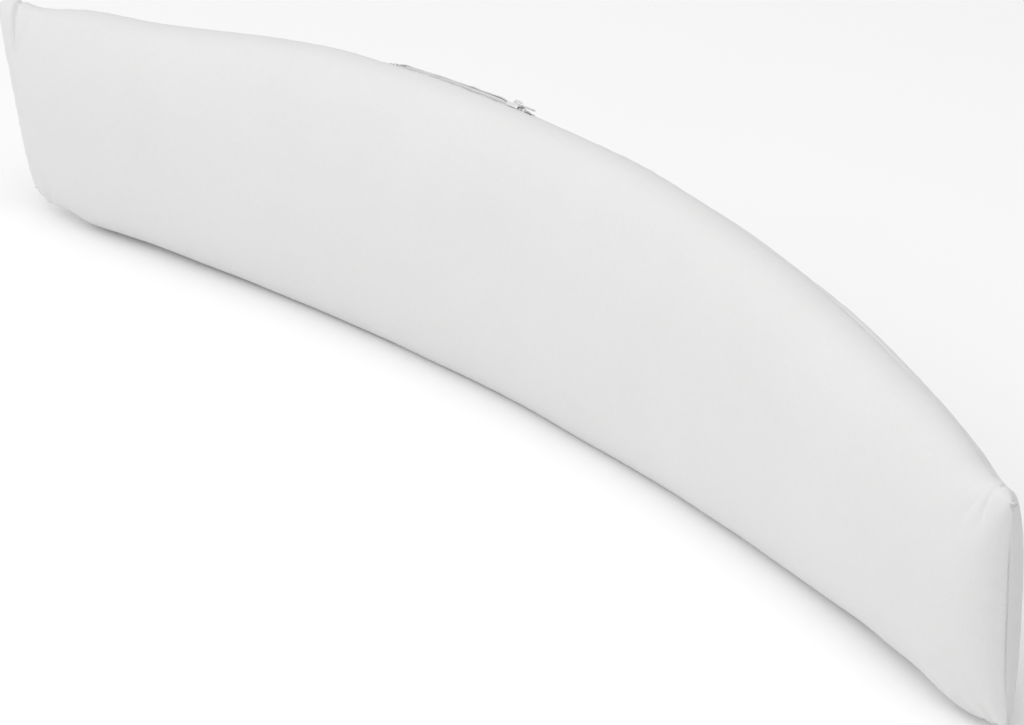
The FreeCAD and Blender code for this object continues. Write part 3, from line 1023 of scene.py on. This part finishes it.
def slider_piece():
    start, finish = SLIDER_REST - SLIDER_LENGTH / 2, SLIDER_REST + SLIDER_LENGTH / 2
    shoulder = np.array([4.05, 4.6, 4.7, 4.66, 4.5, 4.32, 4.1])
    saddle = np.array([2.2, 2.6, 2.2])
    parts = [
        rounded_bar(-shoulder, shoulder, 1.35, 2.55, start, finish, 0.42),
        rounded_bar(-shoulder, shoulder, -3.7, -2.5, start, finish, 0.42),
        rounded_bar(-shoulder, -3.46, -0.45, 1.6, start + 0.3, finish - 0.3, 0.24),
        rounded_bar(3.46, shoulder, -0.45, 1.6, start + 0.3, finish - 0.3, 0.24),
        rounded_bar(-0.34, 0.34, -2.8, 1.6, SLIDER_REST - 5.0, SLIDER_REST - 2.0, 0.14),
        rounded_bar(-saddle, saddle, 2.4, 2.78, SLIDER_REST - 5.2, SLIDER_REST + 5.2, 0.18),
        arch(3.85, 2.3, 5.1, SLIDER_REST, 0.55, 0.7),
    ]
    piece = mesh_from("slider_body", *joined(parts), METAL)
    finished(piece, "zip_slider_body", ["zip_slider"])


def oval(middle, half_length, half_width, turns):
    return [(middle + half_length * math.cos(turn), half_width * math.sin(turn)) for turn in turns]


def pull_piece():
    """Pressed tab with a window at its pivot and a rounded tail."""
    length, half_width, arm, window, thickness, bevel = 17.0, 2.6, 1.0, 5.6, 1.1, 0.26
    narrowing = ((0.0, 1), (3.0, 1), (5.5, 0.94), (7.5, 0.82), (10.0, 0.84), (12.5, 0.95))
    edge = [(x, -half_width * y) for x, y in narrowing]
    tail = oval(length - 2.5, 2.5, half_width, np.linspace(-np.pi / 2, np.pi / 2, 17))
    outline = edge + tail + [(x, -y) for x, y in edge[::-1]]
    inner = half_width - arm
    arc = oval(window - 1.2, 1.2, inner, np.linspace(-np.pi / 2, np.pi / 2, 9))
    hole = [(0.62, -inner)] + arc + [(0.62, inner)]
    grip = oval(12.6, 1.5, 1.15, np.linspace(0, 2 * np.pi, 20, endpoint=False))
    data = bpy.data.curves.new("pull_outline", "CURVE")
    data.dimensions = "2D"
    data.fill_mode = "BOTH"
    data.bevel_depth = bevel
    data.bevel_resolution = 3
    data.extrude = thickness / 2 - bevel
    data.offset = -bevel
    for points in (outline, hole, grip):
        spline = data.splines.new("POLY")
        spline.points.add(len(points) - 1)
        for point, (x, y) in zip(spline.points, points):
            point.co = (x, y, 0, 1)
        spline.use_cyclic_u = True
    flat = bpy.data.objects.new("pull_outline", data)
    mesh = bpy.data.meshes.new_from_object(flat)
    bpy.data.objects.remove(flat)
    local = np.empty(len(mesh.vertices) * 3)
    mesh.vertices.foreach_get("co", local)
    local = local.reshape(-1, 3)
    polygons = [tuple(polygon.vertices) for polygon in mesh.polygons]
    left, out, back = ZIP.frame_at(SLIDER_REST)
    pivot = ZIP.points(0.0, 3.4, SLIDER_REST)
    turned = pivot - local[:, :1] * left - local[:, 1:2] * back + local[:, 2:] * out
    pin = pivot + np.linspace(-half_width, half_width, 9)[:, None] * back
    parts = [(turned, polygons), tube(pin, 0.55, 14, side_hint=out)]
    piece = mesh_from("pull_tab", *joined(parts), METAL)
    weld(piece)
    finished(piece, "zip_pull_body", ["zip_pull"])


def weld(piece):
    """Merges doubled points and sharpens the shading where faces meet at an edge."""
    made = bmesh.new()
    made.from_mesh(piece.data)
    bmesh.ops.remove_doubles(made, verts=made.verts, dist=0.000002)
    bmesh.ops.recalc_face_normals(made, faces=made.faces)
    made.to_mesh(piece.data)
    made.free()
    piece.data.set_sharp_from_angle(angle=math.radians(50))


def stop_pieces():
    outer = ZIP.half_length - 0.5
    inner = outer - 2.4
    for name, node, clips, start, finish, rim in (
        ("top_stop_clips", "zip_top_stops", ((-3.1, -0.75), (0.75, 3.1)), -outer, -inner, 0.2),
        ("bottom_stop_clip", "zip_bottom_stop", ((-3.1, 3.1),), inner, outer, 0.6),
    ):
        parts = []
        for near, far in clips:
            parts.append(rounded_bar(near, far, -0.8, 1.5, start, finish, 0.4))
            parts.append(rounded_bar(near + rim, far - rim, 1.1, 1.62, start + 0.7, finish - 0.7, 0.2))
        finished(mesh_from(name, *joined(parts), METAL), "cushion", [node])


slider_piece()
pull_piece()
stop_pieces()

# ---- camera, light and floor
CAMERA_AZIMUTH = math.radians(53.09)
CAMERA_ELEVATION = math.radians(24.87)
CAMERA_ROLL = math.radians(-1.64)
CAMERA_DISTANCE = 3195.0
CAMERA_ASIDE, CAMERA_UP = -23.2, -61.1
CAMERA_LENS = 172.1


def add_camera():
    back = Vector((
        math.sin(CAMERA_AZIMUTH) * math.cos(CAMERA_ELEVATION),
        -math.cos(CAMERA_AZIMUTH) * math.cos(CAMERA_ELEVATION),
        math.sin(CAMERA_ELEVATION),
    ))
    level = Vector((math.cos(CAMERA_AZIMUTH), math.sin(CAMERA_AZIMUTH), 0))
    up = back.cross(level)
    across = level * math.cos(CAMERA_ROLL) + up * math.sin(CAMERA_ROLL)
    upright = up * math.cos(CAMERA_ROLL) - level * math.sin(CAMERA_ROLL)
    place = Vector((0, FOOT_Y, MIDDLE_HEIGHT / 2)) + across * CAMERA_ASIDE + upright * CAMERA_UP
    place = (place + back * CAMERA_DISTANCE) * MM
    data = bpy.data.cameras.new("camera")
    data.lens = CAMERA_LENS
    data.sensor_width = 36.0
    data.clip_start, data.clip_end = 0.05, 60.0
    camera = new_object("camera", data)
    turn = Matrix((across, upright, back)).transposed()
    camera.matrix_world = Matrix.Translation(place) @ turn.to_4x4()
    bpy.context.scene.camera = camera


def add_light(name, place, size, power):
    data = bpy.data.lights.new(name, "AREA")
    data.shape = "DISK"
    data.size = size
    data.energy = power
    light = new_object(name, data)
    light.location = place
    light.rotation_euler = (Vector((0, 0, 0.1)) - Vector(place)).to_track_quat("-Z", "Y").to_euler()


def add_surroundings():
    world = bpy.data.worlds.new("studio")
    bpy.context.scene.world = world
    world.use_nodes = True
    tree = world.node_tree
    background = tree.nodes["Background"]
    place = tree.nodes.new("ShaderNodeTexCoord").outputs["Generated"]
    toward = tree.nodes.new("ShaderNodeVectorMath")
    toward.operation = "DOT_PRODUCT"
    toward.inputs[1].default_value = (0.72, 0.69, 0.0)
    tree.links.new(place, toward.inputs[0])
    strength = tree.nodes.new("ShaderNodeMapRange")
    for socket, value in (("From Min", -0.2), ("From Max", 0.9), ("To Min", 0.80), ("To Max", 0.55)):
        strength.inputs[socket].default_value = value
    tree.links.new(toward.outputs["Value"], strength.inputs["Value"])
    background.inputs["Color"].default_value = (1.0, 1.0, 1.0, 1)
    tree.links.new(strength.outputs["Result"], background.inputs["Strength"])
    add_light("overhead", (0.3, -0.7, 2.6), 2.4, 20)
    add_light("front", (-1.0, -2.5, 2.3), 1.8, 16)
    mesh = bpy.data.meshes.new("floor")
    reach, under = 14.0, -0.0002
    corners = [(x * reach, y * reach, under) for x, y in ((-1, -1), (1, -1), (1, 1), (-1, 1))]
    mesh.from_pydata(corners, [], [(0, 1, 2, 3)])
    made = Nodes("studio_floor", shade(0.97), 0.7)
    tone = made.noise(made.place(), 3.0, 2.0)
    made.coloured(tone, (0.3, shade(0.965)), (0.7, shade(0.975)))
    made.shader.inputs["Specular IOR Level"].default_value = 0.1
    mesh.materials.append(made.material)
    new_object("floor", mesh)


add_camera()
add_surroundings()
bpy.context.scene.view_settings.view_transform = "Standard"
